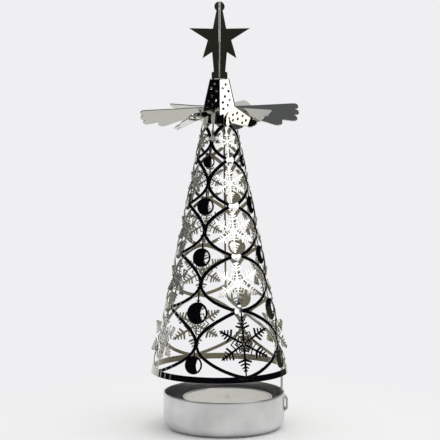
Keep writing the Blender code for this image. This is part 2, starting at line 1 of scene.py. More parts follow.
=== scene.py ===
import bmesh
import bpy
import numpy as np
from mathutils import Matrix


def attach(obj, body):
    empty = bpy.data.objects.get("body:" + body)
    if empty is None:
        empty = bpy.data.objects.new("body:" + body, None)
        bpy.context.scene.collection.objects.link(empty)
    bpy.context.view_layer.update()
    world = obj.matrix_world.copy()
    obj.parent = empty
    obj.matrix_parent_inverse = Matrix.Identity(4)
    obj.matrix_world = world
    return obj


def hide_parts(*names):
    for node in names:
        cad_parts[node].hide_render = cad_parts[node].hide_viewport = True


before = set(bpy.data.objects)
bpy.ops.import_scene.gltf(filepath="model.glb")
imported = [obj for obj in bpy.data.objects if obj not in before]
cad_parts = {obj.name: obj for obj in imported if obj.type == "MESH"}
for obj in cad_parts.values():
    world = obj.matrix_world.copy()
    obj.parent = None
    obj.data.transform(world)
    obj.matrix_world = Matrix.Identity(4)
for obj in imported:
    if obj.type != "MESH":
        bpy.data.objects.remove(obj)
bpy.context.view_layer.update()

# Tealight cup: a shallow round dish drawn from thin steel sheet, its outside left with a satin
# grain that runs round it. Two slots are punched in the right wall for the arm's hook.
MM = 0.001  # sizes are written in millimetres, and meshes are in metres
WELD = 2e-7  # points nearer than this many metres become one
CUP_X, CUP_R, CUP_H, CUP_WALL, CUP_FILLET, CUP_EDGE = 1.9, 25.6, 15.5, 0.5, 4.5, 0.12
SLOT_WIDTH = 5.6
SLOT_HEIGHTS = np.array([[6.43, 8.55], [12.45, 14.57]])
SATIN_LIGHT, SATIN_DARK = "#DFDFDF", "#C6C6C6"
SATIN_LINES = (40, 40, 2600)  # per metre: lines 25 mm long and 0.4 mm apart
SATIN_CLOUD = 70.0  # per metre: worn patches 14 mm wide


def linear(code):
    """sRGB hex value as linear red, green, blue and alpha."""
    value = np.array([int(code[i:i + 2], 16) for i in (1, 3, 5)]) / 255
    value = np.where(value <= 0.04045, value / 12.92, ((value + 0.055) / 1.055) ** 2.4)
    return (*value, 1.0)


def node(graph, kind, settings=(), **links):
    """Adds a node: settings are attribute values, links are socket values or (node, output). A socket
    is given by its name, with _ for a space, or by _ and its number."""
    new = graph.nodes.new(kind)
    for key, value in dict(settings).items():
        setattr(new, key, value)
    for key, value in links.items():
        socket = new.inputs[int(key[1:])] if key[1:].isdigit() else new.inputs[key.replace("_", " ")]
        if isinstance(value, tuple) and hasattr(value[0], "outputs"):
            graph.links.new(value[0].outputs[value[1]], socket)
        else:
            socket.default_value = value
    return new


def finish(name, metallic, roughness):
    """A new material, its node graph and its shader."""
    material = bpy.data.materials.new(name)
    material.use_nodes = True
    shader = material.node_tree.nodes["Principled BSDF"]
    shader.inputs["Metallic"].default_value = metallic
    shader.inputs["Roughness"].default_value = roughness
    return material, material.node_tree, shader


def skin(grid, ring=True, caps=False, keep=None):
    """Points and faces of a grid of points [i, j]: each cell is one face, ring closes j on itself,
    caps close both ends of i with one face each, and keep leaves out cells."""
    rows, cols = grid.shape[:2]
    index = np.arange(rows * cols).reshape(rows, cols)
    if ring:
        index = np.concatenate([index, index[:, :1]], 1)
    cells = np.stack([index[:-1, :-1], index[:-1, 1:], index[1:, 1:], index[1:, :-1]], -1)
    cells = cells.reshape(-1, 4) if keep is None else cells[keep]
    faces = cells.tolist()
    if caps:
        faces += [index[0, :cols][::-1].tolist(), index[-1, :cols].tolist()]
    return grid.reshape(-1, 3), faces


def piece(name, parts, materials, sharp=30.0, pick=None, closed=True):
    """One object from several lists of points in millimetres and faces, welded, smooth up to an angle.
    Closed parts get their faces turned outwards; pick chooses a material for each face."""
    points = np.concatenate([p for p, f in parts])
    starts = np.cumsum([0] + [len(p) for p, f in parts])
    faces = [[v + start for v in face] for (p, f), start in zip(parts, starts) for face in f]
    mesh = bpy.data.meshes.new(name)
    mesh.from_pydata((points * MM).tolist(), [], faces)
    bm = bmesh.new()
    bm.from_mesh(mesh)
    bmesh.ops.remove_doubles(bm, verts=bm.verts, dist=WELD)
    if closed:
        bmesh.ops.recalc_face_normals(bm, faces=bm.faces)
    bm.to_mesh(mesh)
    bm.free()
    mesh.shade_smooth()
    mesh.set_sharp_from_angle(angle=np.radians(sharp))
    for material in materials:
        mesh.materials.append(material)
    if pick is not None:
        count = len(mesh.polygons)
        centres, normals = np.zeros(count * 3), np.zeros(count * 3)
        mesh.polygons.foreach_get("center", centres)
        mesh.polygons.foreach_get("normal", normals)
        chosen = pick(centres.reshape(-1, 3) / MM, normals.reshape(-1, 3))
        mesh.polygons.foreach_set("material_index", chosen.astype(np.int32))
    obj = bpy.data.objects.new(name, mesh)
    bpy.context.scene.collection.objects.link(obj)
    return obj


def turned(profile, angles, x=0.0):
    """Body of revolution: each (radius, height) of the profile is carried round a vertical axis."""
    r, z = np.asarray(profile, float).T
    return np.stack([x + r[:, None] * np.cos(angles), r[:, None] * np.sin(angles),
                     z[:, None] + 0 * angles], -1)


def stands_for(obj, cad_node, body):
    """The piece moves with a body and is seen in place of a solid."""
    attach(obj, body)
    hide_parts(cad_node)


# satin-finished stainless steel: fine lines round the cup spread the reflection upwards and down
SATIN, graph, shader = finish("satin_stainless_steel", 1.0, 0.28)
place = node(graph, "ShaderNodeTexCoord")
grain = node(graph, "ShaderNodeMapping", Vector=(place, "Object"), Scale=SATIN_LINES)
lines = node(graph, "ShaderNodeTexNoise", Vector=(grain, 0), Scale=1.0, Detail=3.0)
cloud = node(graph, "ShaderNodeTexNoise", Vector=(place, "Object"), Scale=SATIN_CLOUD, Detail=5.0)
worn = node(graph, "ShaderNodeMapRange", Value=(cloud, 0), From_Min=0.3, From_Max=0.65)
tone = node(graph, "ShaderNodeMix", {"data_type": "RGBA"}, _0=(worn, 0), _6=linear(SATIN_DARK),
            _7=linear(SATIN_LIGHT))
rough = node(graph, "ShaderNodeMapRange", Value=(lines, 0), From_Min=0.3, From_Max=0.7, To_Min=0.3,
             To_Max=0.36)
bump = node(graph, "ShaderNodeBump", Strength=0.02, Distance=0.0002, Height=(lines, 0))
graph.links.new(tone.outputs[2], shader.inputs["Base Color"])
graph.links.new(rough.outputs[0], shader.inputs["Roughness"])
graph.links.new(bump.outputs[0], shader.inputs["Normal"])

slot_half = np.arcsin(SLOT_WIDTH / 2 / CUP_R)
around = np.unique(np.r_[np.linspace(-np.pi, np.pi, 193)[:-1], -slot_half, slot_half])
bend = np.radians(np.linspace(-90, 0, 13))
wall_z = np.unique(np.r_[np.linspace(CUP_FILLET, CUP_H, 9), SLOT_HEIGHTS.ravel()])
flat_r = CUP_R - CUP_FILLET
cup_profile = np.concatenate([
    np.stack([np.linspace(0, flat_r, 12), np.zeros(12)], 1)[:-1],
    np.stack([flat_r + CUP_FILLET * np.cos(bend), CUP_FILLET + CUP_FILLET * np.sin(bend)], 1),
    np.stack([np.full(len(wall_z) - 1, CUP_R), wall_z[1:]], 1)])
cell_z = (cup_profile[1:, 1] + cup_profile[:-1, 1]) / 2
cell_a = around + np.diff(np.r_[around, around[:1] + 2 * np.pi]) / 2
in_slot = ((cell_z[:, None] > SLOT_HEIGHTS[:, 0]) & (cell_z[:, None] < SLOT_HEIGHTS[:, 1])).any(1)
cup_keep = ~(in_slot[:, None] & (np.abs(cell_a) < slot_half))
cup = piece("cup_dish", [skin(turned(cup_profile, around, CUP_X), keep=cup_keep)], [SATIN], 40.0,
            closed=False)
wall = cup.modifiers.new("wall", "SOLIDIFY")
wall.thickness = CUP_WALL * MM
wall.offset = -1.0
edge = cup.modifiers.new("edge", "BEVEL")
edge.width, edge.segments, edge.angle_limit = CUP_EDGE * MM, 2, np.radians(60)
stands_for(cup, "tealight_cup", "base")

# Arm: one strip of spring steel, bent out and in through the cup's two slots, then up under the
# tree and back to its axis, with a short flat tab at the top. Its long edges are taken off.
STRIP_W, STRIP_T, STRIP_EDGE = 5.0, 0.8, 0.18
ARM_POINTS = ((26.3, 5.4), (26.3, 6.8), (28.5, 8.4), (28.5, 12.6), (26.3, 14.2), (26.3, 36.9),
              (2.589, 55.763), (1.75, 135.8), (-2.35, 135.8))
ARM_BENDS = (0.9, 0.9, 0.9, 0.9, 22.6, 8.0, 0.8)
ARM_BRIGHT, ARM_WORN = "#B9B6AC", "#9C998E"
ARM_LINES = (900, 2200, 60)  # per metre: drawing lines 17 mm long, and 0.5 to 1.1 mm apart


def bent(points, radii, steps=10):
    """Straight runs joined by arcs: at each corner an arc of its radius touches both runs."""
    points = np.asarray(points, float)
    to_a = points[:-2] - points[1:-1]
    to_b = points[2:] - points[1:-1]
    to_a /= np.linalg.norm(to_a, axis=1)[:, None]
    to_b /= np.linalg.norm(to_b, axis=1)[:, None]
    between = to_a + to_b
    between /= np.linalg.norm(between, axis=1)[:, None]
    half = np.arccos(np.clip((to_a * to_b).sum(1), -1, 1)) / 2
    radii = np.asarray(radii)[:, None]
    middle = points[1:-1] + between * radii / np.sin(half)[:, None]
    start = points[1:-1] + to_a * radii / np.tan(half)[:, None] - middle
    end = points[1:-1] + to_b * radii / np.tan(half)[:, None] - middle
    turn = (np.pi - 2 * half)[:, None, None]
    t = np.linspace(0, 1, steps)[None, :, None]
    arcs = (start[:, None] * np.sin((1 - t) * turn) + end[:, None] * np.sin(t * turn)) / np.sin(turn)
    return np.concatenate([points[:1], (middle[:, None] + arcs).reshape(-1, 2), points[-1:]])


def strip_section(width, thick, edge):
    """Corner points of a strip's cross-section with its four edges taken off."""
    w, t = width / 2, thick / 2
    return np.array([(w - edge, t), (w, t - edge), (w, edge - t), (w - edge, -t), (edge - w, -t),
                     (-w, edge - t), (-w, t - edge), (edge - w, t)])


# bright spring steel: drawn strip, with lines along it that make the gloss a little uneven
ARM_STEEL, graph, shader = finish("bright_spring_steel", 1.0, 0.2)
place = node(graph, "ShaderNodeTexCoord")
grain = node(graph, "ShaderNodeMapping", Vector=(place, "Object"), Scale=ARM_LINES)
lines = node(graph, "ShaderNodeTexNoise", Vector=(grain, 0), Scale=1.0, Detail=2.0)
tone = node(graph, "ShaderNodeMix", {"data_type": "RGBA"}, _0=(lines, 0), _6=linear(ARM_WORN),
            _7=linear(ARM_BRIGHT))
rough = node(graph, "ShaderNodeMapRange", Value=(lines, 0), To_Min=0.14, To_Max=0.3)
graph.links.new(tone.outputs[2], shader.inputs["Base Color"])
graph.links.new(rough.outputs[0], shader.inputs["Roughness"])

path = bent(ARM_POINTS, ARM_BENDS)
along = np.gradient(path, axis=0)
along /= np.linalg.norm(along, axis=1)[:, None]
across = np.stack([-along[:, 1], along[:, 0]], 1)
section = strip_section(STRIP_W, STRIP_T, STRIP_EDGE)
arm_grid = np.stack([path[:, :1] + across[:, :1] * section[:, 1],
                     np.tile(section[:, 0], (len(path), 1)),
                     path[:, 1:] + across[:, 1:] * section[:, 1]], -1)
arm = piece("arm_strip", [skin(arm_grid, caps=True)], [ARM_STEEL], 35.0)
stands_for(arm, "support_arm", "base")

# Needle: a turned pin pushed through the tab and riveted over below it; a collar sits on the tab
# and the top runs out in a point that carries the whole tree.
NEEDLE_PROFILE = ((0, 134.89), (0.4, 134.9), (0.7, 134.96), (0.86, 135.15), (0.88, 135.34),
                  (0.6, 135.34), (0.6, 136.26), (1.15, 136.26), (1.25, 136.36), (1.25, 136.96),
                  (1.15, 137.06), (0.75, 137.06), (0.6, 137.2), (0.6, 143.4), (0.52, 143.9),
                  (0.3, 145.3), (0.12, 146.3), (0.05, 146.47), (0, 146.5))
ring_of_40 = np.linspace(0, 2 * np.pi, 41)[:-1]
needle = piece("needle_pin", [skin(turned(NEEDLE_PROFILE, ring_of_40))], [ARM_STEEL], 35.0)
stands_for(needle, "pivot_needle", "base")

# Tealight: a pressed aluminium cup with a rolled rim and faint flutes, filled with poured wax that
# has drawn down a little round the wick as it cooled. It stands loose in the dish.
LIGHT_X, LIGHT_FLOOR = 3.4, 0.6
SHELL_OUTSIDE = ((0, 0), (9, 0), (17.6, 0), (18.1, 0.15), (18.35, 0.5), (18.4, 2.0), (18.4, 6.0),
                 (18.4, 11.4), (18.42, 12.0))
SHELL_INSIDE = ((18.3, 12.62), (18.16, 12.4), (18.1, 11.8), (18.1, 2.0), (18.05, 0.5), (17.8, 0.3),
                (0, 0.3))
RIM_R, RIM_Z, RIM_BEAD = 18.7, 12.38, 0.3
FLUTES, FLUTE_DEPTH, FLUTE_LOW, FLUTE_HIGH = 60, 0.0022, 1.0, 11.6
FOIL_BRIGHT, FOIL_DENTS = "#E3E3E1", 420.0  # per metre: dents 2.4 mm wide

# pressed aluminium foil: bright, with small dents that break up the reflection
FOIL, graph, shader = finish("pressed_aluminium_foil", 1.0, 0.3)
place = node(graph, "ShaderNodeTexCoord")
dents = node(graph, "ShaderNodeTexNoise", Vector=(place, "Object"), Scale=FOIL_DENTS, Detail=3.0)
bump = node(graph, "ShaderNodeBump", Strength=0.25, Distance=0.0002, Height=(dents, 0))
rough = node(graph, "ShaderNodeMapRange", Value=(dents, 0), To_Min=0.22, To_Max=0.4)
shader.inputs["Base Color"].default_value = linear(FOIL_BRIGHT)
graph.links.new(rough.outputs[0], shader.inputs["Roughness"])
graph.links.new(bump.outputs[0], shader.inputs["Normal"])

ring_of_240 = np.linspace(0, 2 * np.pi, 241)[:-1]
bead = np.radians(np.linspace(-160, 90, 10))
shell_profile = np.concatenate([
    SHELL_OUTSIDE, np.stack([RIM_R + RIM_BEAD * np.cos(bead), RIM_Z + RIM_BEAD * np.sin(bead)], 1),
    SHELL_INSIDE])
shell_grid = turned(shell_profile, ring_of_240)
fluted = (shell_profile[:, 1] > FLUTE_LOW) & (shell_profile[:, 1] < FLUTE_HIGH)
flute = 1 + FLUTE_DEPTH * np.sin(FLUTES * ring_of_240)[None, :] * fluted[:, None]
shell_grid[..., :2] *= flute[..., None]
shell_grid += (LIGHT_X, 0, LIGHT_FLOOR)
shell = piece("tealight_foil_cup", [skin(shell_grid)], [FOIL], 50.0)
stands_for(shell, "tealight_shell", "tealight")
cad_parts["wick_sustainer"].data.materials.clear()
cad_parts["wick_sustainer"].data.materials.append(FOIL)

WAX_R, WAX_TOP, WAX_RINGS = 18.0, 12.2, 40
WAX_PALE, WAX_WARM, WAX_BLOOM = "#E8E6DF", "#DCD9CF", 160.0  # per metre: bloom in patches of 6 mm
WICK_BORE = 0.72
WAX_UNDERSIDE = ((WICK_BORE, 0.8), (5.6, 0.8), (5.6, 0.4), (17.6, 0.4), (WAX_R, 0.9))
# each rise or hollow of the wax's top: its height, and how far it spreads
WAX_AT_SHELL, WAX_HOLLOW, WAX_AT_WICK = (0.22, 0.5), (0.55, 5.0), (0.25, 0.45)
WAX_FROM_WICK, WAX_RIPPLE, WAX_GROOVE_R, WAX_GROOVE = 0.7, 0.05, 15.6, (0.12, 0.9)

# poured paraffin wax: light goes a few millimetres in, and a faint bloom clouds the surface
WAX, graph, shader = finish("poured_paraffin_wax", 0.0, 0.42)
place = node(graph, "ShaderNodeTexCoord")
bloom = node(graph, "ShaderNodeTexNoise", Vector=(place, "Object"), Scale=WAX_BLOOM, Detail=5.0)
tone = node(graph, "ShaderNodeMix", {"data_type": "RGBA"}, _0=(bloom, 0), _6=linear(WAX_WARM),
            _7=linear(WAX_PALE))
bump = node(graph, "ShaderNodeBump", Strength=0.12, Distance=0.0003, Height=(bloom, 0))
shader.inputs["IOR"].default_value = 1.43
shader.inputs["Subsurface Weight"].default_value = 0.35
shader.inputs["Subsurface Radius"].default_value = (0.003, 0.0026, 0.002)
shader.inputs["Subsurface Scale"].default_value = 0.5
graph.links.new(tone.outputs[2], shader.inputs["Base Color"])
graph.links.new(bump.outputs[0], shader.inputs["Normal"])

wax_r = np.linspace(WICK_BORE, WAX_R, WAX_RINGS)
wax_profile = np.concatenate([
    WAX_UNDERSIDE, np.stack([wax_r, np.full(WAX_RINGS, WAX_TOP)], 1)[::-1], WAX_UNDERSIDE[:1]])
wax_grid = turned(wax_profile, ring_of_240)
top = np.s_[len(WAX_UNDERSIDE):len(WAX_UNDERSIDE) + WAX_RINGS]
r = np.linalg.norm(wax_grid[top][..., :2], axis=-1)
a = np.arctan2(wax_grid[top][..., 1], wax_grid[top][..., 0])
wax_grid[top][..., 2] += (WAX_AT_SHELL[0] * np.exp(-(WAX_R - r) / WAX_AT_SHELL[1])
                          - WAX_HOLLOW[0] * np.exp(-(r / WAX_HOLLOW[1]) ** 2)
                          + WAX_AT_WICK[0] * np.exp(-(r - WAX_FROM_WICK) / WAX_AT_WICK[1])
                          + WAX_RIPPLE * np.sin(2 * a + r / 3) * (r / WAX_R)
                          - WAX_GROOVE[0] * np.exp(-((r - WAX_GROOVE_R) / WAX_GROOVE[1]) ** 2))
wax_grid += (LIGHT_X, 0, LIGHT_FLOOR)
wax = piece("tealight_wax_fill", [skin(wax_grid)], [WAX], 50.0)
stands_for(wax, "tealight_wax", "tealight")

# Wick: three twisted cotton yarns stiffened with wax. It stands in the middle of the fill, on a
# small foil foot, and its end shows above the wax.
WICK_R, WICK_FOOT, WICK_ABOVE, WICK_LAY, YARNS = 0.6, 0.4, 1.6, 3.2, 3
WICK_BLUNT, WICK_END = 1.5, 0.75
COTTON_LIGHT, COTTON_DARK = "#F2EEE3", "#DFD9CB"
COTTON_FUZZ = 2600.0  # per metre: fibres in tufts of 0.4 mm, coarser than real ones so that they show

# waxed cotton yarn: dull, with a pale fuzz that catches the light
COTTON, graph, shader = finish("waxed_cotton_yarn", 0.0, 0.85)
place = node(graph, "ShaderNodeTexCoord")
fuzz = node(graph, "ShaderNodeTexNoise", Vector=(place, "Object"), Scale=COTTON_FUZZ, Detail=3.0)
tone = node(graph, "ShaderNodeMix", {"data_type": "RGBA"}, _0=(fuzz, 0), _6=linear(COTTON_DARK),
            _7=linear(COTTON_LIGHT))
graph.links.new(tone.outputs[2], shader.inputs["Base Color"])
shader.inputs["Sheen Weight"].default_value = 0.3

wick_z = np.linspace(WICK_FOOT, WAX_TOP + WICK_ABOVE, 70)[:, None]
lay = np.linspace(0, 2 * np.pi, 25)[:-1][None, :] + 0 * wick_z
yarns = WICK_R * (0.86 + 0.12 * np.cos(YARNS * (lay - 2 * np.pi * wick_z / WICK_LAY)))
yarns = yarns * np.where(wick_z > WAX_TOP + WICK_BLUNT, WICK_END, 1.0)
wick_grid = np.stack([LIGHT_X + yarns * np.cos(lay), yarns * np.sin(lay),
                      wick_z + LIGHT_FLOOR + 0 * lay], -1)
wick = piece("twisted_wick", [skin(wick_grid, caps=True)], [COTTON], 60.0)
stands_for(wick, "wick", "tealight")

# Bearing: a small turned brass cup under the cap's top, with a conical dimple that sits on the
# needle's point; its spigot goes through the cap and is spread there.
BRASS_LIGHT, BRASS_DARK = "#D2B06A", "#B08D4A"
BRASS_LINES = (60, 60, 3000)  # per metre: turning lines 0.3 mm apart
BEARING_PROFILE = ((0, 146.56), (0.5, 145.65), (1.1, 144.5), (1.2, 144.34), (1.6, 144.34),
                   (1.75, 144.5), (1.75, 147.18), (1.6, 147.34), (0.65, 147.34), (0.65, 147.7),
                   (0.55, 147.77), (0, 147.77))

# turned brass: yellow metal with lines round it, left by the lathe
BRASS, graph, shader = finish("turned_brass", 1.0, 0.22)
place = node(graph, "ShaderNodeTexCoord")
grain = node(graph, "ShaderNodeMapping", Vector=(place, "Object"), Scale=BRASS_LINES)
lines = node(graph, "ShaderNodeTexNoise", Vector=(grain, 0), Scale=1.0, Detail=2.0)
tone = node(graph, "ShaderNodeMix", {"data_type": "RGBA"}, _0=(lines, 0), _6=linear(BRASS_DARK),
            _7=linear(BRASS_LIGHT))
graph.links.new(tone.outputs[2], shader.inputs["Base Color"])

bearing = piece("brass_bearing", [skin(turned(BEARING_PROFILE, ring_of_40))], [BRASS], 35.0)
stands_for(bearing, "bearing_cup", "rotor")

# Rotor cap: a six-sided cap folded from mirror-polished sheet, with punched holes in its sides.
# From the foot of each side a lobed blade is bent out and pitched, to catch the warm air.
CAP_TOP, CAP_BOTTOM, CAP_TOP_R, CAP_BOTTOM_R, CAP_SHEET = 147.8, 134.6, 4.6, 8.0, 0.4
CAP_TOOTH = (-1.3, 0.5)  # each side's foot runs from this far below the bottom to above it
CAP_LID_INSET = 0.1
FOLD, FOLD_FOOT, FOLD_INSET = 0.3, 0.6, 0.04
HOLE_R = 0.58
CAP_HOLES = ((0.3, 2.1), (-1.3, 3.7), (1.4, 4.9), (-0.6, 7.0), (1.5, 8.6), (-1.9, 9.4), (0.2, 10.6),
             (-2.0, 12.0))  # sideways, and down from the top
HALF_SIDE = np.pi / 6
BLADE_ROOT, BLADE_PITCH, BLADE_LEVEL, BLADE_SIDE = 7.0, np.radians(34.0), 134.7, 1.3
BLADE_DROOP, BLADE_DIP = 4.6, 2.3  # degrees: the blades to the right hang less than those to the left
FINGER_R, THUMB_R = 1.94, 2.16
UP = np.array([0.0, 0.0, 1.0])
STEEL_BRIGHT, STEEL_SHADE = "#C3C3BC", "#B9B9B2"
POLISH_LINES = (300, 300, 2400)  # per metre: hairlines 3 mm long and 0.4 mm apart, coarse enough to show

# mirror-polished stainless steel: a sharp reflection, with hairlines left by the polishing cloth
POLISHED, graph, shader = finish("mirror_polished_steel", 1.0, 0.05)
place = node(graph, "ShaderNodeTexCoord")
cloth = node(graph, "ShaderNodeMapping", Vector=(place, "Object"), Scale=POLISH_LINES)
hairs = node(graph, "ShaderNodeTexNoise", Vector=(cloth, 0), Scale=1.0, Detail=3.0)
rough = node(graph, "ShaderNodeMapRange", Value=(hairs, 0), From_Min=0.35, From_Max=0.75,
             To_Min=0.015, To_Max=0.045)
tone = node(graph, "ShaderNodeMix", {"data_type": "RGBA"}, _0=(hairs, 0), _6=linear(STEEL_SHADE),
            _7=linear(STEEL_BRIGHT))
graph.links.new(tone.outputs[2], shader.inputs["Base Color"])
graph.links.new(rough.outputs[0], shader.inputs["Roughness"])


def cut_plate(loops, thick, edge=0.05):
    """Flat plate in XY: the closed loops are filled between outline and holes, given a thickness along
    Z, and the cut edge is rounded. Points and faces, in millimetres."""
    curve = bpy.data.curves.new("cut_plate", "CURVE")
    curve.dimensions = "2D"
    curve.fill_mode = "BOTH"
    curve.extrude = thick / 2 - edge
    curve.bevel_depth = edge
    curve.bevel_resolution = 1
    curve.offset = -edge
    for loop in loops:
        loop = np.asarray(loop, float)
        spline = curve.splines.new("POLY")
        spline.points.add(len(loop) - 1)
        spline.points.foreach_set("co", np.c_[loop, np.zeros(len(loop)), np.ones(len(loop))].ravel())
        spline.use_cyclic_u = True
    obj = bpy.data.objects.new("cut_plate", curve)
    mesh = bpy.data.meshes.new_from_object(obj)
    plate = taken_from(mesh)
    bpy.data.objects.remove(obj)
    bpy.data.curves.remove(curve)
    bpy.data.meshes.remove(mesh)
    return plate


def taken_from(mesh):
    """Points and faces of a mesh."""
    points = np.zeros(len(mesh.vertices) * 3)
    mesh.vertices.foreach_get("co", points)
    return points.reshape(-1, 3), [list(p.vertices) for p in mesh.polygons]


def set_at(plate, right, up, out, at):
    """Carries a plate's X, Y and Z to three directions, at a point."""
    points, faces = plate
    return points @ np.array([right, up, out]) + np.asarray(at), faces


def lobe(x, y, radius, start, end, count):
    """Arc round a point, from one angle in degrees to another."""
    a = np.radians(np.linspace(start, end, count))
    return np.stack([x + radius * np.cos(a), y + radius * np.sin(a)], 1)


def round_hole(x, y, radius, count=16):
    """Full circle round a point."""
    a = np.linspace(0, 2 * np.pi, count + 1)[:-1]
    return np.stack([x + radius * np.cos(a), y + radius * np.sin(a)], 1)


def compass(angle):
    """Outward and sideways directions at an angle from the front, turning to the right."""
    a = np.radians(angle)
    return np.array([np.sin(a), -np.cos(a), 0]), np.array([np.cos(a), np.sin(a), 0])


def cap_r(z):
    """Radius of the cap's corners at a height: straight from its top to its bottom."""
    return CAP_TOP_R + (CAP_BOTTOM_R - CAP_TOP_R) * (CAP_TOP - z) / (CAP_TOP - CAP_BOTTOM)


def rise(z):
    """Way up a side's slope from the cap's bottom to a height."""
    return (z - CAP_BOTTOM) / np.cos(cap_slope)


cap_slope = np.arctan((CAP_BOTTOM_R - CAP_TOP_R) * np.cos(HALF_SIDE) / (CAP_TOP - CAP_BOTTOM))
foot_left, foot_right = CAP_BOTTOM + CAP_TOOTH[0], CAP_BOTTOM + CAP_TOOTH[1]
side_loop = [(FOLD - cap_r(foot_left) / 2, rise(foot_left)),
             (cap_r(foot_right) / 2 - FOLD, rise(foot_right)),
             (cap_r(CAP_TOP) / 2 - FOLD, rise(CAP_TOP)),
             (FOLD - cap_r(CAP_TOP) / 2, rise(CAP_TOP))]
side_holes = [round_hole(x, rise(CAP_TOP - drop), HOLE_R) for x, drop in CAP_HOLES]
side_plate = cut_plate([side_loop] + side_holes, CAP_SHEET)
blade_loop = np.concatenate([
    [(6.75, 2.6), (16.0, 3.7), (24.0, 4.9), (28.8, 5.6)], lobe(31.0, 4.0, FINGER_R, 80, -70, 12),
    lobe(31.3, 0.0, FINGER_R, 70, -70, 12), lobe(30.6, -4.0, FINGER_R, 70, -110, 14), [(26.4, -5.4)],
    lobe(24.2, -7.0, THUMB_R, 30, -120, 12), [(14.0, -5.0), (9.0, -3.5), (6.75, -1.8)]])
blade_plate = cut_plate([blade_loop], CAP_SHEET)

cap_parts = []
for k in range(6):
    out, side = compass(30 + 60 * k)
    face_out = out * np.cos(cap_slope) + UP * np.sin(cap_slope)
    foot = out * (cap_r(CAP_BOTTOM) * np.cos(HALF_SIDE)) + UP * CAP_BOTTOM - face_out * CAP_SHEET / 2
    cap_parts.append(set_at(side_plate, side, np.cross(face_out, side), face_out, foot))
    droop = np.radians(BLADE_DROOP - BLADE_DIP * np.sin(np.radians(30 + 60 * k)))
    along = out * np.cos(droop) - UP * np.sin(droop)
    rise_way = out * np.sin(droop) + UP * np.cos(droop)
    across = side * np.cos(BLADE_PITCH) + rise_way * np.sin(BLADE_PITCH)
    root = out * BLADE_ROOT + side * BLADE_SIDE + UP * BLADE_LEVEL
    cap_parts.append(set_at(blade_plate, along, across, np.cross(along, across),
                            root - along * BLADE_ROOT))
    corner, corner_side = compass(60 * k)
    z = np.linspace(foot_left + FOLD_FOOT, CAP_TOP, 6)[:, None]
    bow = np.radians(np.linspace(-30, 30, 7))[None, :]
    bent_out = cap_r(z) - FOLD * 2 + 2 * FOLD * np.cos(bow) - FOLD_INSET
    bent_side = 2 * FOLD * np.sin(bow)
    fold_out = bent_out[..., None] * corner + bent_side[..., None] * corner_side + z[..., None] * UP
    fold_in = fold_out - corner * CAP_SHEET
    cap_parts.append(skin(np.concatenate([fold_out, fold_in[:, ::-1]], 1), caps=True))
lid = [compass(60 * k)[0][:2] * (CAP_TOP_R - CAP_LID_INSET) for k in range(6)]
lid_plate = cut_plate([lid], CAP_SHEET)
cap_parts.append(set_at(lid_plate, (1, 0, 0), (0, 1, 0), UP, UP * (CAP_TOP - CAP_SHEET / 2)))
cap = piece("rotor_cap_and_blades", cap_parts, [POLISHED], 12.0)
stands_for(cap, "rotor_cap", "rotor")

# Star: two plates of polished sheet, each with the same outline of ball, star and stalk. They are
# slotted half-way into one another at right angles, and tongues at the foot go through the cap.
STAR_T, STAR_GAP, STAR_EDGE, STAR_FOOT, STAR_MIDDLE = 0.6, 0.08, 0.07, 147.9, 163.5
BALL_R, BALL_Z, BALL_GROOVE = 2.15, 177.85, 2.1
TONGUE_IN, TONGUE_OUT, TONGUE_LOW = 2.15, 3.05, STAR_FOOT - 1.0
STAR_ARMS = ((1.45, 175.55), (2.8, 168.7), (12.8, 168.9), (4.9, 163.9), (7.1, 156.3), (3.1, 158.9),
             (2.4, 150.9), (3.3, 150.4), (3.3, STAR_FOOT), (TONGUE_OUT, STAR_FOOT),
             (TONGUE_OUT, TONGUE_LOW), (TONGUE_IN, TONGUE_LOW), (TONGUE_IN, STAR_FOOT))
EDGE_LEAN = 0.9  # a face whose direction has less than this share along the plate's is its edge
SHEARED_PALE = "#DCDCD8"

# sheared edge of the plate: not polished, so it spreads the light
SHEARED, graph, shader = finish("sheared_steel_edge", 1.0, 0.5)
shader.inputs["Base Color"].default_value = linear(SHEARED_PALE)


def both_sides(half):
    """Whole outline from its right half: the points off the axis come again on the left, in reverse."""
    return np.concatenate([half, (half * (-1, 1))[half[:, 0] > 0][::-1]])


groove = STAR_T / 2 + STAR_GAP
turn = np.linspace(0.5, 2.5, 16)
ball = np.stack([BALL_R * np.sin(turn), BALL_Z + BALL_R * np.cos(turn)], 1)
front_half = np.concatenate([[(groove, STAR_MIDDLE - STAR_GAP), (groove, BALL_Z + BALL_GROOVE)],
                             ball, STAR_ARMS])
cross_half = np.concatenate([[(0.0, BALL_Z + BALL_R)], ball, STAR_ARMS,
                             [(groove, STAR_FOOT), (groove, STAR_MIDDLE + STAR_GAP)]])
for name, cad_node, half, right, out in (
        ("star_front", "star_plate_front", front_half, (1, 0, 0), (0, -1, 0)),
        ("star_cross", "star_plate_cross", cross_half, (0, 1, 0), (1, 0, 0))):
    on_edge = lambda at, normal: np.abs(normal @ np.array(out)) < EDGE_LEAN
    star_plate = cut_plate([both_sides(half)], STAR_T, STAR_EDGE)
    star = piece(name, [set_at(star_plate, right, UP, out, (0, 0, 0))], [POLISHED, SHEARED], 12.0,
                 on_edge)
    stands_for(star, cad_node, "rotor")
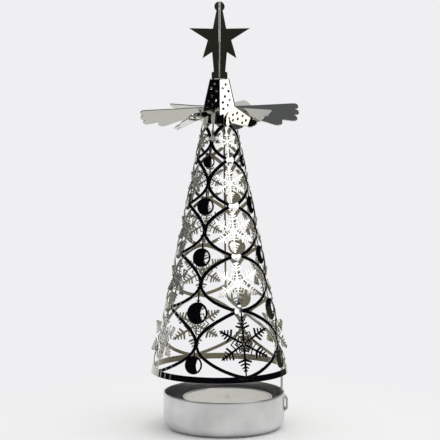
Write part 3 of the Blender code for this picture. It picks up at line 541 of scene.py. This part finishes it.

# Tree: four quarter panels of thin sheet, rolled to one cone and joined where their rings touch.
# Each is cut to five rings with a snow flake in each, and flat baubles hang by its right edge.
# Outside it is mirror polished; inside it is dull raw sheet, its warm grey a painted reflection of a floor.
TREE_LOW, TREE_HIGH, TREE_LOW_R, TREE_TAPER = 24.1, 137.4, 28.8, 0.206
TREE_SHEET, SHEET_EDGE, TREE_TURN, TREE_BAND, TREE_COLLAR = 0.4, 0.06, 23.0, 2.6, 129.4
STRIP, LAP, SEAM, HALF_PANEL = 1.45, 0.15, 0.02, np.pi / 4
RING_JOINTS = np.array([26.3, 53.4, 75.5, 96.0, 114.8, 129.8])
RING_ROUND = (0.35, 0.6, 0.4, 0.35, 0.3)
PLATE_T, STEM = 0.32, 0.3
FLAKE_R = (12.3, 10.3, 9.2, 7.3, 4.4)
FLAKE_SINK = (0.0, 1.6, 1.5, 1.2, 0.6)
FLAKE_SHORT, FLAKE_EDGE, FLAKE_BOW = 0.1, 0.03, 0.8
# the flake's shape for an arm of length one; barbs are root, end, reach and thickness
FLAKE_HEAVY = (1.1, 1.1, 1.1, 1.2, 1.4)
FLAKE_STEM, FLAKE_CORNER, FLAKE_NOTCH, FLAKE_TIP = 0.034, (0.378, 0.49), 0.004, (0.97, 0.02)
FLAKE_BARBS = ((0.5, 0.58, 0.25, 0.06), (0.63, 0.69, 0.18, 0.045), (0.75, 0.8, 0.125, 0.04),
               (0.86, 0.9, 0.08, 0.03))
BARB_BLUNT, BARB_FLARE = 0.01, 0.02
FLAKE_SLOTS = (((0.332, 0.44), (0.25, 0.35)), ((0.2, 0.3), (0.14, 0.23)))
FLAKE_EYE, FLAKE_DOT, FLAKE_DOT_R = 0.03, 0.026, 0.11
BAUBLE_Z = (31.3, 52.3, 74.9, 95.7, 113.8)
BAUBLE_R = (3.85, 4.6, 3.95, 3.7, 2.5)
BAUBLE_SHIFT, BAUBLE_SHORT, BAUBLE_EDGE = 0.55, 0.04, 0.04
INSIDE_LEAN = 0.3
# painted reflection: the inside's warm olive greys stand for a warm floor mirrored in it
INSIDE_REFLECTION_LIGHT, INSIDE_REFLECTION_DARK = "#A29E8C", "#857F6C"
RAW_GRAIN = (220, 220, 900)  # per metre: rolled grain 4.5 mm long and 1.1 mm wide

# unpolished side of the sheet: rolled grain and a wide soft reflection, in a warm grey that is a painted
# floor reflection
RAW_WITH_PAINTED_REFLECTION, graph, shader = finish("rolled_steel_inside_painted_reflection", 1.0, 0.35)
place = node(graph, "ShaderNodeTexCoord")
mill = node(graph, "ShaderNodeMapping", Vector=(place, "Object"), Scale=RAW_GRAIN)
roll = node(graph, "ShaderNodeTexNoise", Vector=(mill, 0), Scale=1.0, Detail=3.0)
tone = node(graph, "ShaderNodeMix", {"data_type": "RGBA"}, _0=(roll, 0), _6=linear(INSIDE_REFLECTION_DARK),
            _7=linear(INSIDE_REFLECTION_LIGHT))
rough = node(graph, "ShaderNodeMapRange", Value=(roll, 0), To_Min=0.28, To_Max=0.45)
graph.links.new(tone.outputs[2], shader.inputs["Base Color"])
graph.links.new(rough.outputs[0], shader.inputs["Roughness"])

tilt = np.arctan(TREE_TAPER)


def tree_r(z):
    """Radius of the cone at a height: it falls by the taper for each millimetre up."""
    return TREE_LOW_R - TREE_TAPER * (z - TREE_LOW)


def on_cone(angle, z, off):
    """Point at an angle from the panel's middle and a height on the cone, moved out by off."""
    radius = tree_r(z) + off * np.cos(tilt)
    return np.stack([radius * np.sin(angle), -radius * np.cos(angle), z + off * np.sin(tilt)], -1)


def ring_strip(low, high, side, rounding, steps=56):
    """Strip along half a ring: its middle swings out from the column between two joints, on a line
    between a sine and half an ellipse, and the strip's section lies square to that line in the sheet."""
    phi = np.linspace(0, np.pi, steps)
    z = low + (high - low) * (1 - np.cos(phi)) / 2
    swing = np.sin(np.pi * (1 - np.cos(phi)) / 2) * (1 - rounding) + np.sin(phi) * rounding
    arc = (HALF_PANEL * tree_r(z) - LAP - SEAM) * swing
    da, dz = np.gradient(arc, phi, edge_order=2), np.gradient(z, phi, edge_order=2) / np.cos(tilt)
    size = np.hypot(da, dz)
    section = strip_section(STRIP, TREE_SHEET, SHEET_EDGE)
    a = arc[:, None] + (dz / size)[:, None] * section[:, 0]
    h = z[:, None] - (da / size)[:, None] * section[:, 0] * np.cos(tilt)
    h = np.clip(h, TREE_LOW, TREE_HIGH)
    a = np.clip(a, 0, HALF_PANEL * tree_r(h) - SEAM) * side
    return on_cone(a / tree_r(h), h, 0 * a + section[:, 1])


def band(low, high, steps=30):
    """Strip along the panel's width between two heights."""
    section = strip_section(high - low, TREE_SHEET, SHEET_EDGE)
    z = (low + high) / 2 + section[:, 0]
    a = np.linspace(-1, 1, steps)[:, None] * (HALF_PANEL - SEAM / tree_r(z))
    return on_cone(a, z + 0 * a, section[:, 1] + 0 * a)


def tangent(angle, z):
    """Directions and place of a flat plate that touches the cone at an angle and a height."""
    out_flat, right = compass(angle)
    up = UP * np.cos(tilt) - out_flat * np.sin(tilt)
    return right, up, np.cross(right, up), out_flat * tree_r(z) + UP * z


def sliced(plate, normal, places):
    """A plate with its faces cut along parallel planes, so that it can be bent there."""
    mesh = bpy.data.meshes.new("sliced")
    mesh.from_pydata(plate[0].tolist(), [], plate[1])
    bm = bmesh.new()
    bm.from_mesh(mesh)
    for place in places:
        whole = bm.verts[:] + bm.edges[:] + bm.faces[:]
        bmesh.ops.bisect_plane(bm, geom=whole, dist=1e-5, plane_co=np.asarray(normal) * place,
                               plane_no=normal)
    bm.to_mesh(mesh)
    bm.free()
    cut = taken_from(mesh)
    bpy.data.meshes.remove(mesh)
    return cut


def six_arms(half_arm, upright):
    """Outline of a flake: one half of an arm, as (distance along, distance across) from its root to
    its tip, is mirrored and turned six times, with another half for the two upright arms."""
    arms = []
    for k in range(6):
        a = np.radians(90 - 60 * k)
        ahead, left = np.array([np.cos(a), np.sin(a)]), np.array([-np.sin(a), np.cos(a)])
        h = np.asarray(half_arm if k % 3 else upright, float)
        arms += [h[:, :1] * ahead + h[:, 1:] * left, (h[:, :1] * ahead - h[:, 1:] * left)[::-1]]
    return np.concatenate(arms)


def chevron(at_stem, at_corner, half):
    """Bent line round a flake's middle from one arm to the next: its corner stands out between the arms."""
    a = np.radians(30)
    stem = np.array([at_stem, half])
    mirrored = np.array([[np.cos(2 * a), np.sin(2 * a)], [np.sin(2 * a), -np.cos(2 * a)]]) @ stem
    return np.array([stem, (at_corner * np.cos(a), at_corner * np.sin(a)), mirrored])


def flake_plate(radius, reach, heavy, dots, sink):
    """Snow flake that fills a ring: six arms with four pairs of barbs, joined round the middle by two bent
    rings with slots between; the upright arms run on to the joints above and below, and bow so that the
    flake lies a little inside the cone. Shapes are given for an arm of length one; heavy thickens them."""
    half = FLAKE_STEM * heavy
    root, end, wide, thick = np.array(FLAKE_BARBS).T * [[1], [1], [1], [heavy]]
    foot = 0 * root + half
    teeth = np.stack([np.stack([root, foot], 1), np.stack([end, wide], 1),
                      np.stack([end + thick, wide - BARB_BLUNT], 1),
                      np.stack([root + thick + BARB_FLARE, foot], 1)], 1)
    corner = chevron(*FLAKE_CORNER, half)[:2][::-1] - [(0, FLAKE_NOTCH), (0, 0)]
    arm = np.concatenate([corner, teeth.reshape(-1, 2), [FLAKE_TIP, (1, 0)]])
    upright = np.concatenate([arm[:-2], [(FLAKE_TIP[0], STEM / radius), (reach / radius, STEM / radius)]])
    slots = [np.concatenate([chevron(*outer, half), chevron(*inner, half)[::-1]])
             for outer, inner in FLAKE_SLOTS]
    sixths = np.radians(60 * np.arange(6))
    turns = [np.array([[np.sin(a), np.cos(a)], [-np.cos(a), np.sin(a)]]) for a in sixths]
    holes = [slot @ turn for slot in slots for turn in turns] + [round_hole(0, 0, FLAKE_EYE, 12)]
    if dots:
        holes += [round_hole(FLAKE_DOT_R * np.cos(a), FLAKE_DOT_R * np.sin(a), FLAKE_DOT, 8)
                  for a in sixths]
    outline = six_arms(arm, upright)
    plate = cut_plate([loop * radius for loop in [outline] + holes], PLATE_T, FLAKE_EDGE)
    stems = np.linspace(FLAKE_BOW, 0.99, 6) * reach
    points, faces = sliced(plate, (0, 1, 0), np.r_[-stems, stems])
    near_joint = np.clip((np.abs(points[:, 1]) / reach - FLAKE_BOW) / 0.2, 0, 1)
    points[:, 2] -= sink * (1 - near_joint ** 2)
    return points, faces


def bauble_plate(radius, reach):
    """Flat bauble on a thin stem, with a crescent opening like a highlight on its right: between an arc
    round the disc's own middle and one round a point far to the right."""
    start = np.degrees(np.arcsin(STEM / radius))
    disc = np.concatenate([[(STEM, reach)], lobe(0, 0, radius, 90 - start, start - 270, 48),
                           [(-STEM, reach)]])
    crescent = np.concatenate([lobe(0, 0, radius * 0.8, -54, 54, 14),
                               lobe(radius * 1.5, 0, radius * 1.21, 147.5, 212.5, 12)])
    return cut_plate([disc, crescent], PLATE_T, BAUBLE_EDGE)


def inside(at, normal):
    """True for faces that look towards the tree's axis."""
    return (at[:, :2] * normal[:, :2]).sum(1) < -INSIDE_LEAN * np.linalg.norm(at[:, :2], axis=1)


panel_parts = [skin(band(TREE_LOW, TREE_LOW + TREE_BAND), caps=True),
               skin(band(TREE_COLLAR, TREE_HIGH), caps=True)]
for row, (low, high) in enumerate(zip(RING_JOINTS, RING_JOINTS[1:])):
    for side in (-1, 1):
        panel_parts.append(skin(ring_strip(low, high, side, RING_ROUND[row]), caps=True))
    middle = (low + high) / 2
    reach = (high - low) / 2 / np.cos(tilt) - FLAKE_SHORT
    flake = flake_plate(FLAKE_R[row], reach, FLAKE_HEAVY[row], row == 0, FLAKE_SINK[row])
    panel_parts.append(set_at(flake, *tangent(0.0, middle)))
    hang = (middle - BAUBLE_Z[row]) / np.cos(tilt) - (high - low) * BAUBLE_SHORT
    right, up, out, at = tangent(45.0, BAUBLE_Z[row])
    bauble = bauble_plate(BAUBLE_R[row], hang)
    panel_parts.append(set_at(bauble, right, up, out, at - right * BAUBLE_SHIFT))
for k in range(4):
    a = np.radians(TREE_TURN + 90 * k)
    turn = np.array([[np.cos(a), np.sin(a), 0], [-np.sin(a), np.cos(a), 0], [0, 0, 1]])
    panel = piece("tree_sheet_%d" % (k + 1), [(p @ turn, f) for p, f in panel_parts],
                  [POLISHED, RAW_WITH_PAINTED_REFLECTION], 15.0, inside)
    stands_for(panel, "tree_panel_%d" % (k + 1), "rotor")

# Stage: a pale paper floor, a pale backdrop and soft light from above. What the polished metal
# mirrors is a studio: pale behind, a dark room in front and at the sides, with a bright window to
# the right of the camera, pale strips at the left, and a painted dark reflection of the floor in
# front and right, though the floor itself is pale.
BACKDROP, PAPER_PALE, ROOM_PALE, MIRRORED_FLOOR_DARK = "#EFEFF1", "#E6E6E5", "#E8E8E8", "#34342F"
FLOOR_HALF = 4.0
PAPER_FRONT, PAPER_RIGHT, PAPER_SWEEP = (-0.5, -0.4), (0.13, 0.16), (0.03, 0.14)
SKY_LIGHT = (0.95, 0.95, 0.95, 1.0)
# each zone: colour, then from, to and softness in degrees, round from the front and up from level
ZONES = ((linear("#0C0D12"), (-135, 143, 4), (-100, 100, 1)),  # dark room
         (linear("#6E6F74"), (-200, 200, 1), (40, 100, 8)),  # ceiling
         (linear("#3A3A35"), (-22, 22, 6), (-30, 7, 3)),  # behind the camera
         ((2.6, 2.6, 2.6, 1.0), (33, 68, 2), (12.4, 64, 0.15)),  # window
         ((3.7, 3.6, 3.8, 1.0), (33, 68, 2), (38, 64, 2)),  # sky in the window
         (linear("#C8C8C4"), (-130, -124, 1.0), (-12, 2.5, 0.5)),  # strips at the left
         (linear("#B8B8B4"), (-119, -116, 0.8), (-12, 4.0, 0.5)),
         (linear("#A0A09C"), (-106, -103.5, 0.6), (-12, 6.0, 0.5)),
         (linear("#7A7A76"), (-93, -90, 0.8), (-12, 7.5, 0.5)))
SOFTBOX_SIDE, SOFTBOX_POWER = 1.2, 6.0
SOFTBOX_AT, SOFTBOX_TURN = (0.3, -0.2, 1.3), (-0.15, 0.22, 0)

floor_mesh = bpy.data.meshes.new("paper_floor")
corners = FLOOR_HALF * np.array([(-1, -1, 0), (1, -1, 0), (1, 1, 0), (-1, 1, 0)], float)
floor_mesh.from_pydata(corners.tolist(), [], [[0, 1, 2, 3]])
floor = bpy.data.objects.new("paper_floor", floor_mesh)
bpy.context.scene.collection.objects.link(floor)

# matt white paper: no gloss, so near the object it holds a soft shadow; far off it is the backdrop
PAPER, graph, shader = finish("matt_white_paper", 0.0, 0.9)
shader.inputs["Base Color"].default_value = linear(PAPER_PALE)
place = node(graph, "ShaderNodeTexCoord")
ways = node(graph, "ShaderNodeSeparateXYZ", Vector=(place, "Object"))
# painted dark reflection: glossy rays see the pale floor as dark in front and to the right
front_end = node(graph, "ShaderNodeMapRange", Value=(ways, 1), From_Min=PAPER_FRONT[0],
                 From_Max=PAPER_FRONT[1], To_Min=1.0, To_Max=0.0)
right_end = node(graph, "ShaderNodeMapRange", Value=(ways, 0), From_Min=PAPER_RIGHT[0],
                 From_Max=PAPER_RIGHT[1])
dark_reflection_mask = node(graph, "ShaderNodeMath", {"operation": "MAXIMUM"}, _0=(front_end, 0), _1=(right_end, 0))
paths = node(graph, "ShaderNodeLightPath")
beyond = node(graph, "ShaderNodeMath", {"operation": "MULTIPLY"}, _0=(dark_reflection_mask, 0),
              _1=(paths, "Is Glossy Ray"))
dark = node(graph, "ShaderNodeEmission", Color=linear(MIRRORED_FLOOR_DARK))
cover = node(graph, "ShaderNodeMixShader", _0=(beyond, 0), _1=(shader, 0), _2=(dark, 0))
away = node(graph, "ShaderNodeVectorMath", {"operation": "LENGTH"}, _0=(place, "Object"))
sweep = node(graph, "ShaderNodeMapRange", {"interpolation_type": "SMOOTHSTEP"}, Value=(away, "Value"),
             From_Min=PAPER_SWEEP[0], From_Max=PAPER_SWEEP[1])
bare = node(graph, "ShaderNodeMath", {"operation": "MULTIPLY"}, _0=(sweep, 0),
            _1=(paths, "Is Camera Ray"))
backdrop = node(graph, "ShaderNodeEmission", Color=linear(BACKDROP))
paper = node(graph, "ShaderNodeMixShader", _0=(bare, 0), _1=(cover, 0), _2=(backdrop, 0))
graph.links.new(paper.outputs[0], graph.nodes["Material Output"].inputs[0])
floor_mesh.materials.append(PAPER)

world = bpy.data.worlds.new("studio")
bpy.context.scene.world = world
world.use_nodes = True
graph = world.node_tree
graph.nodes.clear()
place = node(graph, "ShaderNodeTexCoord")
ways = node(graph, "ShaderNodeSeparateXYZ", Vector=(place, "Generated"))
ahead = node(graph, "ShaderNodeMath", {"operation": "MULTIPLY"}, _0=(ways, 1), _1=-1.0)
bearing_angle = node(graph, "ShaderNodeMath", {"operation": "ARCTAN2"}, _0=(ways, 0), _1=(ahead, 0))
height_angle = node(graph, "ShaderNodeMath", {"operation": "ARCSINE"}, _0=(ways, 2))
room = node(graph, "ShaderNodeMix", {"data_type": "RGBA"}, _0=0.0, _6=linear(ROOM_PALE))
for colour, sideways, upwards in ZONES:
    edges = []
    for angle, (low, high, soft) in ((bearing_angle, sideways), (height_angle, upwards)):
        for at, first, last in ((low, 0.0, 1.0), (high, 1.0, 0.0)):
            edges.append(node(graph, "ShaderNodeMapRange", {"interpolation_type": "SMOOTHSTEP"},
                              Value=(angle, 0), From_Min=np.radians(at - soft),
                              From_Max=np.radians(at + soft), To_Min=first, To_Max=last))
    mask = edges[0]
    for edge in edges[1:]:
        mask = node(graph, "ShaderNodeMath", {"operation": "MULTIPLY"}, _0=(mask, 0), _1=(edge, 0))
    room = node(graph, "ShaderNodeMix", {"data_type": "RGBA"}, _0=(mask, 0), _6=(room, 2), _7=colour)
paths = node(graph, "ShaderNodeLightPath")
seen = node(graph, "ShaderNodeMix", {"data_type": "RGBA"}, _0=(paths, "Is Glossy Ray"), _6=SKY_LIGHT,
            _7=(room, 2))
direct = node(graph, "ShaderNodeMath", {"operation": "MAXIMUM"}, _0=(paths, "Is Camera Ray"),
              _1=(paths, "Is Transmission Ray"))
shown = node(graph, "ShaderNodeMix", {"data_type": "RGBA"}, _0=(direct, 0), _6=(seen, 2),
             _7=linear(BACKDROP))
sky = node(graph, "ShaderNodeBackground", Color=(shown, 2), Strength=1.0)
node(graph, "ShaderNodeOutputWorld", Surface=(sky, 0))

lamp = bpy.data.lights.new("ceiling_softbox", "AREA")
lamp.shape, lamp.size, lamp.size_y = "RECTANGLE", SOFTBOX_SIDE, SOFTBOX_SIDE
lamp.energy = SOFTBOX_POWER
softbox = bpy.data.objects.new("ceiling_softbox", lamp)
softbox.location = SOFTBOX_AT
softbox.rotation_euler = SOFTBOX_TURN
softbox.visible_camera = False
softbox.visible_glossy = False
bpy.context.scene.collection.objects.link(softbox)

# Camera: a long lens about a metre away and a little above the star. It looks down by seven degrees
# at the object's middle, so that the star is seen nearly level and the cup shows its inside.
CAMERA_UP, CAMERA_FAR, CAMERA_X, CAMERA_AIM = np.radians(7.161), 0.9746, 0.0002, 0.0885
SENSOR, LENS, NEAREST = 36.0, 189.86, 0.05
camera_data = bpy.data.cameras.new("camera")
camera_data.sensor_width, camera_data.lens, camera_data.clip_start = SENSOR, LENS, NEAREST
camera = bpy.data.objects.new("camera", camera_data)
camera.location = (CAMERA_X, -CAMERA_FAR * np.cos(CAMERA_UP), CAMERA_AIM + CAMERA_FAR * np.sin(CAMERA_UP))
camera.rotation_euler = (np.pi / 2 - CAMERA_UP, 0, 0)
bpy.context.scene.collection.objects.link(camera)
bpy.context.scene.camera = camera
bpy.context.scene.view_settings.view_transform = "Standard"
